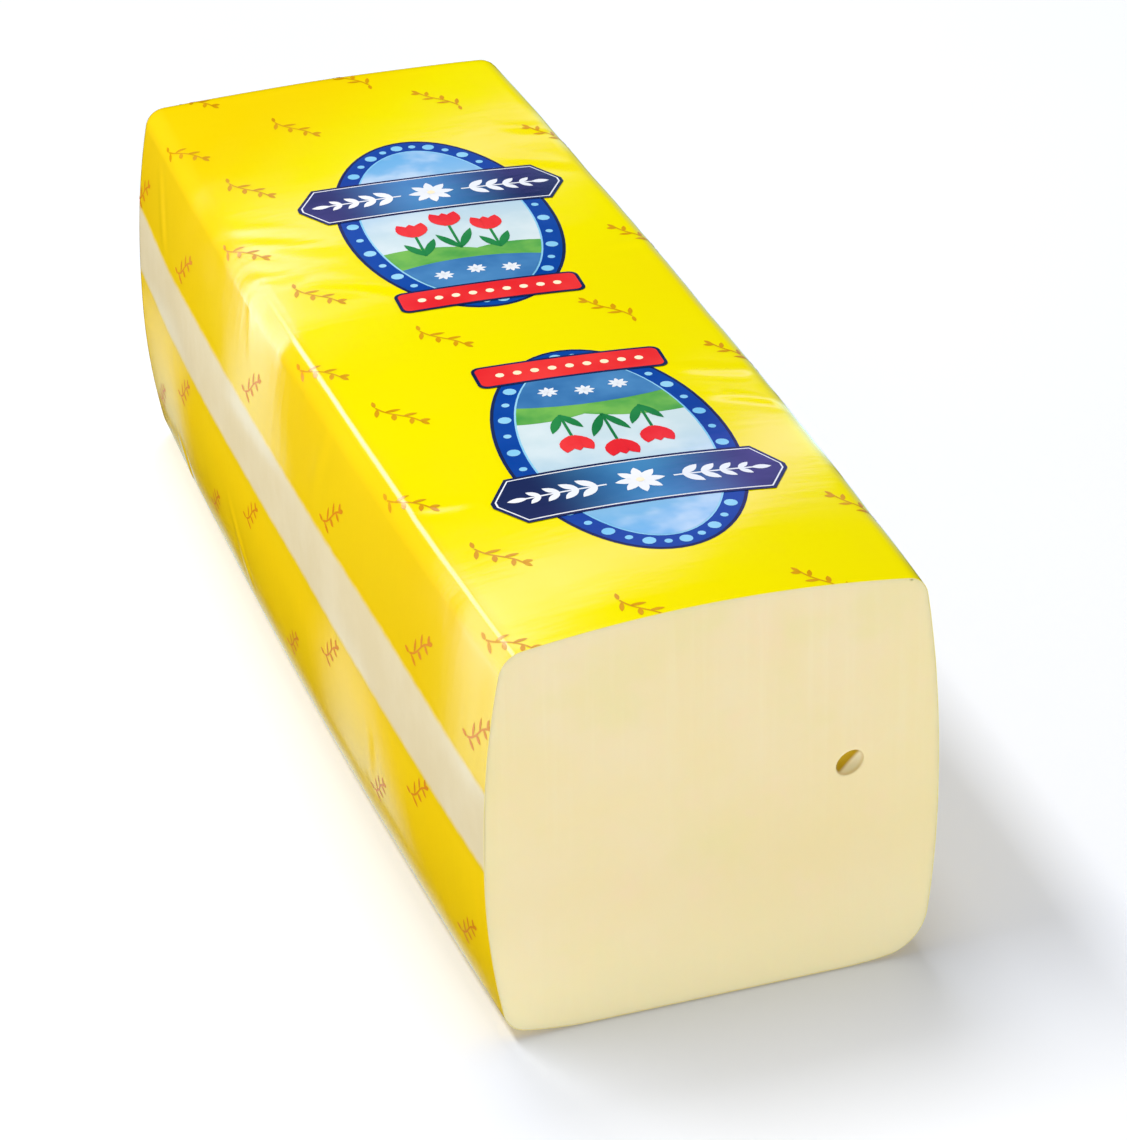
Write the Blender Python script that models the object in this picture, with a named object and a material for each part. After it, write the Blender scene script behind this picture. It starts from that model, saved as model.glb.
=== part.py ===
"""Cheese loaf cut straight across at one end, in a tight printed film that is shut at the other end.

The cut face looks along -Y, the shut end along +Y. The origin is in the middle of the bottom.
"""
import math

import bmesh
import bpy
import numpy as np
from mathutils import Vector

# Overall form of the wrapped loaf, in metres
LENGTH = 0.2976
HEIGHT = 0.0958
WIDEST_HEIGHT = 0.040
WIDE_RIGHT = 0.0525
WIDE_LEFT = 0.0540
TOP_RIGHT = 0.0482
TOP_LEFT = 0.0484
BOTTOM_RIGHT = 0.0493
BOTTOM_LEFT = 0.0496

# Bulge of the top at the cut and lift of the bottom's long edges
CROWN = 0.0036
EDGE_LIFT = 0.0022
FLAT_SHARE = 0.6
LOWER_SIDE_POWER = 2.0
UPPER_SIDE_POWER = 2.27

# Rounding of the four long edges, as the length taken off each side of the corner
ROUND_TOP_RIGHT = 0.0040
ROUND_TOP_LEFT = 0.0045
ROUND_BOTTOM_RIGHT = 0.0084
ROUND_BOTTOM_LEFT = 0.0042

# Change of the section along the loaf
WIDTH_TAPER = 0.057
HEIGHT_FLARE = 0.0064
CROWN_FADE = 1.09

# Shut end: depth and fullness of its rounding, and how far its middle stands out
END_ROUNDING = 0.0121
END_FULLNESS = 2.68
END_SWELL = 0.003
SWELL_LENGTH = 0.060

# Film and the gap between it and the cheese
FILM_THICKNESS = 0.0004
FILM_GAP = 0.0003

# The one eye that the knife opened, placed on the cut face
EYE_X = 0.0299
EYE_HEIGHT = 0.0515
EYE_RADIUS = 0.0036
EYE_DEPTH_OF_CENTRE = 0.0015

# Facets: along the sides, round each corner, along the length and over the shut end
SIDE_STEPS = 8
CORNER_STEPS = 5
LENGTH_STEPS = 10
END_STEPS = 7
CURVE_SAMPLES = 200

# The section is drawn about the middle of its top, then moved to centre the loaf
CENTRE_SHIFT = (WIDE_LEFT - WIDE_RIGHT) / 2


def clear_scene():
    for old in list(bpy.data.objects):
        bpy.data.objects.remove(old, do_unlink=True)


def side_curve(bottom, wide, top):
    """Half width of one side against height, widest at WIDEST_HEIGHT."""
    z = np.linspace(EDGE_LIFT, HEIGHT - CROWN, CURVE_SAMPLES)
    below = np.clip((WIDEST_HEIGHT - z) / (WIDEST_HEIGHT - z[0]), 0, None)
    above = np.clip((z - WIDEST_HEIGHT) / (z[-1] - WIDEST_HEIGHT), 0, None)
    x = wide - (wide - bottom) * below ** LOWER_SIDE_POWER - (wide - top) * above ** UPPER_SIDE_POWER
    return np.column_stack((x, z))


def top_curve():
    """The crowned top, from its right edge to its left edge."""
    across = np.linspace(-1, 1, CURVE_SAMPLES)
    x = TOP_RIGHT - (TOP_RIGHT + TOP_LEFT) * (across + 1) / 2
    return np.column_stack((x, HEIGHT - CROWN * across ** 2))


def bottom_curve():
    """The bottom from left to right: flat in its middle, lifted towards both long edges."""
    across = np.linspace(-1, 1, CURVE_SAMPLES)
    x = -BOTTOM_LEFT + (BOTTOM_LEFT + BOTTOM_RIGHT) * (across + 1) / 2
    beyond_flat = np.clip((np.abs(across) - FLAT_SHARE) / (1 - FLAT_SHARE), 0, None)
    return np.column_stack((x, EDGE_LIFT * beyond_flat ** 2))


def trimmed(curve, start, stop):
    """Evenly spaced points of a curve, with a length taken off its start and its end."""
    steps = np.linalg.norm(np.diff(curve, axis=0), axis=1)
    along = np.concatenate(([0.0], np.cumsum(steps)))
    wanted = np.linspace(start, along[-1] - stop, SIDE_STEPS + 1)
    return np.column_stack((np.interp(wanted, along, curve[:, 0]), np.interp(wanted, along, curve[:, 1])))


def corner_arc(start, tip, end):
    """Inner points of the conic that rounds a corner and is tangent to both of its sides."""
    chord = end - start
    to_tip = tip - start
    weight = np.dot(to_tip, chord) / np.linalg.norm(to_tip) / np.linalg.norm(chord)
    t = np.linspace(0, 1, CORNER_STEPS + 1)[1:-1, None]
    middle = 2 * weight * t * (1 - t)
    total = (1 - t) ** 2 + middle + t ** 2
    return ((1 - t) ** 2 * start + middle * tip + t ** 2 * end) / total


def section_points():
    """The loaf's outline at the cut, as (x, z), anticlockwise seen from the cut."""
    right = side_curve(BOTTOM_RIGHT, WIDE_RIGHT, TOP_RIGHT)
    left = side_curve(BOTTOM_LEFT, WIDE_LEFT, TOP_LEFT)
    left[:, 0] *= -1
    curves = [bottom_curve(), right, top_curve(), left[::-1]]
    rounds = [ROUND_BOTTOM_LEFT, ROUND_BOTTOM_RIGHT, ROUND_TOP_RIGHT, ROUND_TOP_LEFT]
    sides = [trimmed(curve, rounds[i], rounds[(i + 1) % 4]) for i, curve in enumerate(curves)]
    outline = []
    for i, side in enumerate(sides):
        following = sides[(i + 1) % 4]
        outline.extend(side)
        outline.extend(corner_arc(side[-1], curves[i][-1], following[0]))
    return np.array(outline)


def ring(outline, y, scale):
    """The outline carried to the station y, shrunk about its middle by scale."""
    middle = HEIGHT / 2
    x = outline[:, 0]
    z = outline[:, 1]
    from_middle = (y / (LENGTH / 2)) ** 2
    taper = 1 - WIDTH_TAPER * from_middle
    flare = 1 + HEIGHT_FLARE * from_middle
    on_crown = np.clip(1 - (x / WIDE_RIGHT) ** 2, 0, None) * (z > middle)
    sink = CROWN_FADE * CROWN * (y / LENGTH + 0.5) * on_crown
    x = x * taper * scale
    z = flare * (middle + (z - middle) * scale) - sink * scale
    into_swell = max(y - (LENGTH / 2 - SWELL_LENGTH), 0) / SWELL_LENGTH
    y = y - into_swell ** 2 * END_SWELL * (x / WIDE_RIGHT) ** 2
    return np.column_stack((x + CENTRE_SHIFT, y, z))


def ring_stations():
    """Pairs of station and scale: evenly along the loaf, then over the rounded end."""
    start = -LENGTH / 2
    end_starts = LENGTH / 2 - END_ROUNDING
    stations = [(y, 1.0) for y in np.linspace(start, end_starts, LENGTH_STEPS + 1)]
    for step in range(1, END_STEPS):
        angle = math.pi / 2 * step / END_STEPS
        reach = math.sin(angle) ** (2 / END_FULLNESS)
        scale = math.cos(angle) ** (2 / END_FULLNESS)
        stations.append((end_starts + END_ROUNDING * reach, scale))
    return stations


def loaf_skin():
    """The wrapped loaf's outer surface, open at the cut. Returns the mesh and the ring at the cut."""
    mesh = bmesh.new()
    outline = section_points()
    rings = [[mesh.verts.new(p) for p in ring(outline, y, scale)] for y, scale in ring_stations()]
    count = len(outline)
    for near, far in zip(rings, rings[1:]):
        for i in range(count):
            following = (i + 1) % count
            mesh.faces.new((near[i], far[i], far[following], near[following]))
    pole = mesh.verts.new((CENTRE_SHIFT, LENGTH / 2, HEIGHT / 2 * (1 + HEIGHT_FLARE)))
    for i in range(count):
        mesh.faces.new((rings[-1][i], pole, rings[-1][(i + 1) % count]))
    mesh.normal_update()
    return mesh, rings[0]


def shrink_evenly(mesh, distance):
    """Move every face inwards by the same distance, and keep the cut where it is."""
    moves = [v.normal * (distance * v.calc_shell_factor()) for v in mesh.verts]
    for vertex, move in zip(mesh.verts, moves):
        vertex.co -= Vector((move.x, 0, move.z)) if vertex.is_boundary else move
    mesh.normal_update()


def plain_material(name, colour, roughness):
    material = bpy.data.materials.new(name)
    material.use_nodes = True
    shader = material.node_tree.nodes["Principled BSDF"]
    shader.inputs["Base Color"].default_value = (*colour, 1)
    shader.inputs["Roughness"].default_value = roughness
    shader.inputs["Metallic"].default_value = 0
    return material


def place(name, mesh, material):
    """Turn a bmesh into a named, smooth object of the scene."""
    data = bpy.data.meshes.new(name)
    mesh.to_mesh(data)
    mesh.free()
    data.materials.append(material)
    data.shade_smooth()
    data.set_sharp_from_angle(angle=math.radians(40))
    piece = bpy.data.objects.new(name, data)
    bpy.context.scene.collection.objects.link(piece)
    return piece


def make_film():
    """The film: four long sides and the shut end, one thin wall, flush with the cheese at the cut."""
    mesh, _ = loaf_skin()
    film = place("film", mesh, plain_material("film", (0.93, 0.74, 0.01), 0.25))
    wall = film.modifiers.new("wall", "SOLIDIFY")
    wall.thickness = FILM_THICKNESS
    wall.offset = -1
    wall.use_even_offset = True
    return film


def make_eye_cutter():
    """A ball that opens the eye in the cut face."""
    mesh = bmesh.new()
    bmesh.ops.create_icosphere(mesh, subdivisions=3, radius=EYE_RADIUS)
    cutter = place("eye_cutter", mesh, plain_material("eye", (0.55, 0.42, 0.16), 0.5))
    cutter.location = (EYE_X, -LENGTH / 2 + EYE_DEPTH_OF_CENTRE, EYE_HEIGHT)
    cutter.hide_render = True
    cutter.display_type = "WIRE"
    return cutter


def make_cheese():
    """The cheese: solid, just inside the film, with a flat cut face."""
    mesh, cut_ring = loaf_skin()
    shrink_evenly(mesh, FILM_THICKNESS + FILM_GAP)
    mesh.faces.new(cut_ring)
    mesh.normal_update()
    cheese = place("cheese", mesh, plain_material("cheese", (0.83, 0.71, 0.44), 0.45))
    opening = cheese.modifiers.new("eye", "BOOLEAN")
    opening.operation = "DIFFERENCE"
    opening.solver = "EXACT"
    opening.object = make_eye_cutter()
    return cheese


clear_scene()
make_cheese()
make_film()
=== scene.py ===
import math
import bpy
import numpy as np
from mathutils import Matrix, Vector


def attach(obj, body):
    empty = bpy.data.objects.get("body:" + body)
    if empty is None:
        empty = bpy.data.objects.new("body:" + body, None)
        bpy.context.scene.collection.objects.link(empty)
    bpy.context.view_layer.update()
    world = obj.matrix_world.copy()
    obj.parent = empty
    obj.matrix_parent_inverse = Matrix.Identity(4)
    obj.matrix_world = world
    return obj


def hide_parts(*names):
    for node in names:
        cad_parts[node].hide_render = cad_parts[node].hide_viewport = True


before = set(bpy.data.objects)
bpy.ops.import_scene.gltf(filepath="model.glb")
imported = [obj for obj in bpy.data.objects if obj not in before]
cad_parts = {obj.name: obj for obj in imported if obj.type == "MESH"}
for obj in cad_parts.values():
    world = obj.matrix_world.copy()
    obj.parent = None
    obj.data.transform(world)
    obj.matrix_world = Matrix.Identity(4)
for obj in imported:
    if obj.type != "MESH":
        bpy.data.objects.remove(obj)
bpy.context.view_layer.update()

# Lengths are in millimetres up to where a mesh is placed
MM = 0.001

# Form of the wrapped loaf, as its solids have it
LENGTH = 297.6
HEIGHT = 95.8
WIDEST_HEIGHT = 40.0
WIDE_RIGHT = 52.5
WIDE_LEFT = 54.0
TOP_RIGHT = 48.2
TOP_LEFT = 48.4
BOTTOM_RIGHT = 49.3
BOTTOM_LEFT = 49.6
CROWN = 3.6
EDGE_LIFT = 2.2
FLAT_SHARE = 0.6
LOWER_SIDE_POWER = 2.0
UPPER_SIDE_POWER = 2.27
ROUND_TOP_RIGHT = 4.0
ROUND_TOP_LEFT = 4.5
ROUND_BOTTOM_RIGHT = 8.4
ROUND_BOTTOM_LEFT = 4.2
WIDTH_TAPER = 0.057
HEIGHT_FLARE = 0.0064
CROWN_FADE = 1.09
END_ROUNDING = 12.1
END_FULLNESS = 2.68
END_SWELL = 3.0
SWELL_LENGTH = 60.0
CENTRE_SHIFT = (WIDE_LEFT - WIDE_RIGHT) / 2
CUT = -LENGTH / 2
END_START = LENGTH / 2 - END_ROUNDING

# Film: how far it stays inside the solid's surface, its wall, and the cheese behind it
FILM_TUCK = 0.12
FILM_WALL = 0.18
RELIEF_LIMIT = 0.25
CHEESE_GAP = 0.12
CHEESE_GAP_AT_CUT = 0.02

# Clear stripe on each long side, as distances across the film from the top's middle
STRIPE_TOP = 74.8
STRIPE_FOOT = 94.3
STRIPE_ENDS = END_START + 6.0

# Eye in the cut face
EYE = (29.9, 51.5)
EYE_RADIUS = 2.95
EYE_SLANT = 38
EYE_LENGTHENED = 1.12
EYE_DEPTH = 3.0
EYE_DEEPEST = (0.0, -0.8)


# Form of the section

def side_curve(bottom, wide, top, count=400):
    z = np.linspace(EDGE_LIFT, HEIGHT - CROWN, count)
    below = np.clip((WIDEST_HEIGHT - z) / (WIDEST_HEIGHT - z[0]), 0, None)
    above = np.clip((z - WIDEST_HEIGHT) / (z[-1] - WIDEST_HEIGHT), 0, None)
    x = wide - (wide - bottom) * below ** LOWER_SIDE_POWER - (wide - top) * above ** UPPER_SIDE_POWER
    return np.column_stack((x, z))


def top_curve(count=400):
    across = np.linspace(-1, 1, count)
    x = TOP_RIGHT - (TOP_RIGHT + TOP_LEFT) * (across + 1) / 2
    return np.column_stack((x, HEIGHT - CROWN * across ** 2))


def bottom_curve(count=400):
    across = np.linspace(-1, 1, count)
    lift = EDGE_LIFT * (np.clip((np.abs(across) - FLAT_SHARE) / (1 - FLAT_SHARE), 0, None)) ** 2
    x = -BOTTOM_LEFT + (BOTTOM_LEFT + BOTTOM_RIGHT) * (across + 1) / 2
    return np.column_stack((x, lift))


def lengths_along(points):
    return np.concatenate(([0.0], np.cumsum(np.linalg.norm(np.diff(points, axis=0), axis=1))))


def trimmed(curve, start, stop, count=240):
    along = lengths_along(curve)
    wanted = np.linspace(start, along[-1] - stop, count)
    return np.column_stack([np.interp(wanted, along, curve[:, axis]) for axis in (0, 1)])


def corner_arc(start, tip, end, count=60):
    chord = end - start
    to_tip = tip - start
    weight = np.dot(to_tip, chord) / np.linalg.norm(to_tip) / np.linalg.norm(chord)
    t = np.linspace(0, 1, count)[1:-1, None]
    middle = 2 * weight * t * (1 - t)
    total = (1 - t) ** 2 + middle + t ** 2
    return ((1 - t) ** 2 * start + middle * tip + t ** 2 * end) / total


def section_outline():
    """The section's outline as (x, z) against s, the distance across the film from the top's middle."""
    left = side_curve(BOTTOM_LEFT, WIDE_LEFT, TOP_LEFT) * (-1, 1)
    curves = [bottom_curve(), side_curve(BOTTOM_RIGHT, WIDE_RIGHT, TOP_RIGHT), top_curve(), left[::-1]]
    rounds = [ROUND_BOTTOM_LEFT, ROUND_BOTTOM_RIGHT, ROUND_TOP_RIGHT, ROUND_TOP_LEFT]
    sides = [trimmed(curve, rounds[i], rounds[(i + 1) % 4]) for i, curve in enumerate(curves)]
    runs = []
    for i, side in enumerate(sides):
        runs.extend((side, corner_arc(side[-1], curves[i][-1], sides[(i + 1) % 4][0])))
    points = np.vstack(runs + [runs[0][:1]])
    along = lengths_along(points)
    girth = along[-1]
    upper = np.where(points[:, 1] > HEIGHT / 2)[0]
    top_middle = np.interp(0, points[upper][::-1, 0], along[upper][::-1])
    s = (top_middle - along[:-1] + girth / 2) % girth - girth / 2
    order = np.argsort(s)
    s, points = s[order], points[:-1][order]
    s = np.concatenate(([s[-1] - girth], s, [s[0] + girth]))
    points = np.vstack((points[-1:], points, points[:1]))
    return s, points[:, 0], points[:, 1], girth


OUTLINE_S, OUTLINE_X, OUTLINE_Z, GIRTH = section_outline()


def end_profile(count=400):
    """Way over the shut end: distance t along the film, station y and scale of the section."""
    angle = np.linspace(0, math.pi / 2, count)
    reach = np.sin(angle) ** (2 / END_FULLNESS)
    scale = np.clip(np.cos(angle), 0, None) ** (2 / END_FULLNESS)
    path = np.column_stack((END_ROUNDING * reach, HEIGHT / 2 * scale))
    return END_START + lengths_along(path), END_START + END_ROUNDING * reach, scale


END_T, END_Y, END_SCALE = end_profile()
TAIL = END_T[-1]


def loaf_place(s, t):
    """Point of the loaf's smooth form at s across and t along the film, with its section scale."""
    s = (s + GIRTH / 2) % GIRTH - GIRTH / 2
    x = np.interp(s, OUTLINE_S, OUTLINE_X)
    z = np.interp(s, OUTLINE_S, OUTLINE_Z)
    y = np.where(t < END_START, t, np.interp(t, END_T, END_Y))
    scale = np.where(t < END_START, 1.0, np.interp(t, END_T, END_SCALE))
    middle = HEIGHT / 2
    from_middle = (y / (LENGTH / 2)) ** 2
    on_crown = np.clip(1 - (x / WIDE_RIGHT) ** 2, 0, None) * (z > middle)
    sink = CROWN_FADE * CROWN * (y / LENGTH + 0.5) * on_crown
    x = x * (1 - WIDTH_TAPER * from_middle) * scale
    z = (1 + HEIGHT_FLARE * from_middle) * (middle + (z - middle) * scale) - sink * scale
    into_swell = np.clip(y - (LENGTH / 2 - SWELL_LENGTH), 0, None) / SWELL_LENGTH
    y = y - into_swell ** 2 * END_SWELL * (x / WIDE_RIGHT) ** 2
    return np.stack((x + CENTRE_SHIFT, y, z), axis=-1), scale


def loaf_normal(s, t, step=0.05):
    across = loaf_place(s + step, t)[0] - loaf_place(s - step, t)[0]
    along = loaf_place(s, np.minimum(t + step, TAIL))[0] - loaf_place(s, t - step)[0]
    normal = np.cross(across, along)
    size = np.linalg.norm(normal, axis=-1, keepdims=True)
    at_pole = size < 1e-9
    return np.where(at_pole, (0.0, 1.0, 0.0), normal / np.where(at_pole, 1, size))


# Relief of the film

def smooth_step(value, low, high):
    share = np.clip((value - low) / (high - low), 0, 1)
    return share * share * (3 - 2 * share)


def swell(s, t, around, along, seed):
    """Smooth random relief between -1 and 1: so many swells around the loaf, each so long along it."""
    rows = 64
    heights = np.random.default_rng(seed).uniform(-1, 1, (around, rows))
    u = (s / GIRTH + 0.5) * around
    v = t / along + rows / 2
    i, j = np.floor(u).astype(int), np.floor(v).astype(int)
    fu, fv = u - i, v - j
    fu, fv = fu * fu * (3 - 2 * fu), fv * fv * (3 - 2 * fv)

    def at(a, b):
        return heights[a % around, b % rows]

    near = at(i, j) * (1 - fu) + at(i + 1, j) * fu
    far = at(i, j + 1) * (1 - fu) + at(i + 1, j + 1) * fu
    return near * (1 - fv) + far * fv


# Swells of the film, and finer ones along the two upper long edges: height, number around the loaf,
# length along it and seed
SWELLS = [(0.16, 8, 62, 3), (0.06, 20, 24, 5)]
EDGE_SWELLS = [(0.09, 24, 13, 7), (0.03, 30, 6, 8)]
UPPER_EDGE = 49.5
UPPER_EDGE_REACH = 4.5

# Creases that the tight film pulled: middle (s, t), half length, slope, bend, half width and height
CREASE_SHARE = 0.6
CREASES = [
    (-27, 24, 11, -0.60, -0.020, 3.2, 0.12),
    (-33, 47, 10, -0.55, 0.012, 3.4, 0.10),
    (-38, 60, 8, -0.40, -0.010, 2.8, 0.07),
    (-41, 33, 6, -0.20, 0.020, 2.4, 0.10),
    (37, -48, 8, -0.28, 0.012, 2.0, 0.24),
    (39, -62, 7, -0.40, -0.012, 2.2, 0.18),
    (41, 93, 7, -0.30, 0.012, 2.8, 0.10),
    (36, 74, 8, -0.50, -0.008, 3.0, 0.08),
    (43, 22, 6, 0.20, 0.015, 2.0, 0.16),
    (-40, -86, 6, -0.30, 0.010, 2.0, 0.14),
    (-56, 26, 7, 0.45, 0.012, 2.6, 0.08),
    (-60, -34, 9, -0.30, 0.006, 2.6, 0.14),
    (-64, 112, 8, 0.60, 0.010, 2.4, 0.20),
    (-120, 40, 9, 0.50, 0.008, 2.4, 0.16),
    (-116, -70, 9, -0.40, 0.008, 2.6, 0.16),
    (-132, 104, 8, 0.35, 0.010, 2.2, 0.20),
    (62, 100, 10, -0.50, 0.006, 2.6, 0.18),
    (66, -24, 9, 0.40, 0.008, 2.4, 0.14),
    (124, -64, 9, -0.35, 0.008, 2.4, 0.18),
    (128, 76, 8, 0.45, 0.010, 2.2, 0.18),
    (154, 12, 14, 0.20, 0.004, 2.8, 0.16),
    (-158, -88, 14, -0.25, 0.004, 2.8, 0.16),
    (-150, 64, 12, 0.30, 0.006, 2.6, 0.16),
]


def film_relief(s, t):
    """How far the film stands off its outer limit, never above zero."""
    s = (s + GIRTH / 2) % GIRTH - GIRTH / 2
    height = sum(tall * swell(s, t, *rest) for tall, *rest in SWELLS)
    edge = np.exp(-((np.abs(s) - UPPER_EDGE) / UPPER_EDGE_REACH) ** 2)
    height += edge * sum(tall * swell(s, t, *rest) for tall, *rest in EDGE_SWELLS)
    for middle_s, middle_t, half_length, slope, bend, half_width, tall in CREASES:
        along = s - middle_s
        off = t - middle_t - slope * along - bend * along ** 2
        ridge = np.exp(-(off / half_width) ** 2) - 0.5 * np.exp(-(off / half_width + 1.7) ** 2)
        height += CREASE_SHARE * tall * ridge * np.exp(-(along / half_length) ** 4)
    return np.minimum(height * smooth_step(t, CUT, CUT + 9), RELIEF_LIMIT) - RELIEF_LIMIT


# Shut end: how far it sinks, its flat seal and its four folds, whose lines start beside the middle
END_SINK = 0.95
SEAL_TALL = 0.85
SEAL_HALF_WIDTH = 2.6
FOLD_TALL = 0.3
FOLD_HALF_WIDTH = 1.1
FOLD_START = 16.0
FOLD_SLOPE = 1.45
FOLD_LINE_LENGTH = 1.76


def end_relief(place, scale):
    """Folded shut end: the end sinks a little, and a flat seal and four creases stand up from it."""
    x, z = place[..., 0], place[..., 2] - HEIGHT / 2
    inside = smooth_step(1 - scale, 0.03, 0.22)
    seal = np.exp(-(z / SEAL_HALF_WIDTH) ** 6) * smooth_step(WIDE_LEFT - np.abs(x), 5, 9)
    to_fold = np.abs(np.abs(z) - FOLD_SLOPE * (np.abs(x) - FOLD_START)) / FOLD_LINE_LENGTH
    fold = np.exp(-(to_fold / FOLD_HALF_WIDTH) ** 2) * (np.abs(x) > FOLD_START)
    return inside * (np.maximum(SEAL_TALL * seal, FOLD_TALL * fold) - END_SINK)


def film_place(s, t, lift=0.0):
    """Point of the film's outer face, or of ink that lies on it, at s across and t along the film."""
    s, t = np.broadcast_arrays(np.asarray(s, float), np.asarray(t, float))
    place, scale = loaf_place(s, t)
    rise = film_relief(s, t) * np.clip(scale, 0.2, 1) + end_relief(place, scale) - FILM_TUCK + lift
    return place + loaf_normal(s, t) * rise[..., None]


def cheese_place(s, t):
    """Point of the cheese's skin. The film clings to it, closest of all at the cut."""
    gap = CHEESE_GAP_AT_CUT + (CHEESE_GAP - CHEESE_GAP_AT_CUT) * smooth_step(t, CUT, CUT + 12)
    return film_place(s, t, -FILM_WALL - gap)


# Modelling

def deselect():
    if bpy.context.object and bpy.context.object.mode != "OBJECT":
        bpy.ops.object.mode_set(mode="OBJECT")
    bpy.ops.object.select_all(action="DESELECT")


def pick(piece):
    deselect()
    piece.select_set(True)
    bpy.context.view_layer.objects.active = piece


def points_of(piece):
    points = np.empty(len(piece.data.vertices) * 3, np.float32)
    piece.data.vertices.foreach_get("co", points)
    return points.reshape(-1, 3).astype(float)


def put_points(piece, points):
    piece.data.vertices.foreach_set("co", np.asarray(points, np.float32).ravel())
    piece.data.update()


def new_grid(name, columns, rows):
    """A flat grid of columns by rows, from 0 to 1 each way."""
    deselect()
    bpy.ops.mesh.primitive_grid_add(x_subdivisions=columns, y_subdivisions=rows, size=1)
    piece = bpy.context.object
    piece.name = name
    piece.data.name = name
    put_points(piece, points_of(piece) + (0.5, 0.5, 0))
    return piece


def merge_points(piece, distance=1e-6):
    pick(piece)
    bpy.ops.object.mode_set(mode="EDIT")
    bpy.ops.mesh.select_all(action="SELECT")
    bpy.ops.mesh.remove_doubles(threshold=distance)
    bpy.ops.object.mode_set(mode="OBJECT")


def join(name, pieces):
    deselect()
    for piece in pieces:
        piece.select_set(True)
    bpy.context.view_layer.objects.active = pieces[0]
    if len(pieces) > 1:
        bpy.ops.object.join()
    joined = bpy.context.object
    joined.name = name
    joined.data.name = name
    return joined


def copy_of(piece, name):
    twin = piece.copy()
    twin.data = piece.data.copy()
    twin.name = name
    bpy.context.scene.collection.objects.link(twin)
    return twin


def apply_modifier(piece, modifier):
    pick(piece)
    bpy.ops.object.modifier_apply(modifier=modifier.name)


def keep_faces(piece, keep):
    """Delete every face that isn't in the given mask, with what it leaves loose."""
    pick(piece)
    piece.data.polygons.foreach_set("select", ~keep)
    bpy.ops.object.mode_set(mode="EDIT")
    bpy.ops.mesh.select_mode(type="FACE")
    bpy.ops.object.mode_set(mode="OBJECT")
    piece.data.polygons.foreach_set("select", ~keep)
    bpy.ops.object.mode_set(mode="EDIT")
    bpy.ops.mesh.delete(type="FACE")
    bpy.ops.mesh.select_mode(type="VERT")
    bpy.ops.object.mode_set(mode="OBJECT")


def smooth(piece, angle=40):
    pick(piece)
    bpy.ops.object.shade_smooth_by_angle(angle=math.radians(angle))


# Film

def stripe_edges(t):
    """Upper and lower edge of the clear stripe, which drifts down at the cut and up at the shut end."""
    rise = 2.4 * smooth_step(t, 95, 140)
    return (STRIPE_TOP + 3.2 * smooth_step(-t, 70, 160) - rise,
            STRIPE_FOOT + 3.7 * smooth_step(-t, 10, 160) - rise)


# Distances across the film, up to the top's middle, that the columns of points are spread between
BELOW_STRIPE = (-GIRTH / 2, -144.0, -128.0)
ABOVE_STRIPE = (-56.0, -41.0, 0.0)
COLUMNS_BETWEEN = [18, 18, 18, 12, 14, 24, 26]


def film_columns():
    """Share of the way through each span of the film, one entry for each column of points."""
    spans = COLUMNS_BETWEEN + COLUMNS_BETWEEN[::-1]
    return [span + step / count for span, count in enumerate(spans) for step in range(count)] + [len(spans)]


def film_rows():
    flat_rows = np.linspace(CUT, END_START, 218)[:-1]
    return np.concatenate((flat_rows, np.linspace(END_START, TAIL, 40)))


def make_film_sheet():
    """The whole film as one thin wall, with rows of points along the stripes' edges.

    Each point keeps its distance across the film, along it, and from the nearest stripe edge.
    """
    spans = np.array(film_columns())
    rows = film_rows()
    sheet = new_grid("film_sheet", len(spans) - 1, len(rows) - 1)
    uv = points_of(sheet)
    column = np.rint(uv[:, 0] * (len(spans) - 1)).astype(int)
    row = np.rint(uv[:, 1] * (len(rows) - 1)).astype(int)
    t = rows[row]
    top, foot = stripe_edges(t)
    low, high = ([np.full_like(t, knot) for knot in knots] for knots in (BELOW_STRIPE, ABOVE_STRIPE))
    knots = low + [-foot, -top] + high
    knots = np.stack(knots + [-knot for knot in knots[-2::-1]])
    span = np.minimum(spans[column].astype(int), len(knots) - 2)
    share = spans[column] - span
    picked = np.arange(len(t))
    s = knots[span, picked] * (1 - share) + knots[span + 1, picked] * share
    put_points(sheet, film_place(s, t) * MM)
    into_stripe = np.minimum(np.minimum(np.abs(s) - top, foot - np.abs(s)), STRIPE_ENDS - t)
    for name, value in (("across", np.abs(s)), ("along", t), ("into_stripe", into_stripe)):
        sheet.data.attributes.new(name, "FLOAT", "POINT").data.foreach_set("value", value.astype(np.float32))
    merge_points(sheet)
    wall = sheet.modifiers.new("wall", "SOLIDIFY")
    wall.thickness = FILM_WALL * MM
    wall.offset = -1
    wall.material_offset_rim = 1
    sheet.data.materials.append(None)
    sheet.data.materials.append(None)
    apply_modifier(sheet, wall)
    return sheet


def face_means(piece, name):
    """Mean of a stored value over each face's corners."""
    data = piece.data
    values = np.empty(len(data.vertices), np.float32)
    data.attributes[name].data.foreach_get("value", values)
    corners = np.empty(len(data.loops), np.int32)
    data.loops.foreach_get("vertex_index", corners)
    starts = np.empty(len(data.polygons), np.int32)
    data.polygons.foreach_get("loop_start", starts)
    counts = np.empty(len(data.polygons), np.int32)
    data.polygons.foreach_get("loop_total", counts)
    return np.add.reduceat(values[corners].astype(float), starts) / counts


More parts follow.
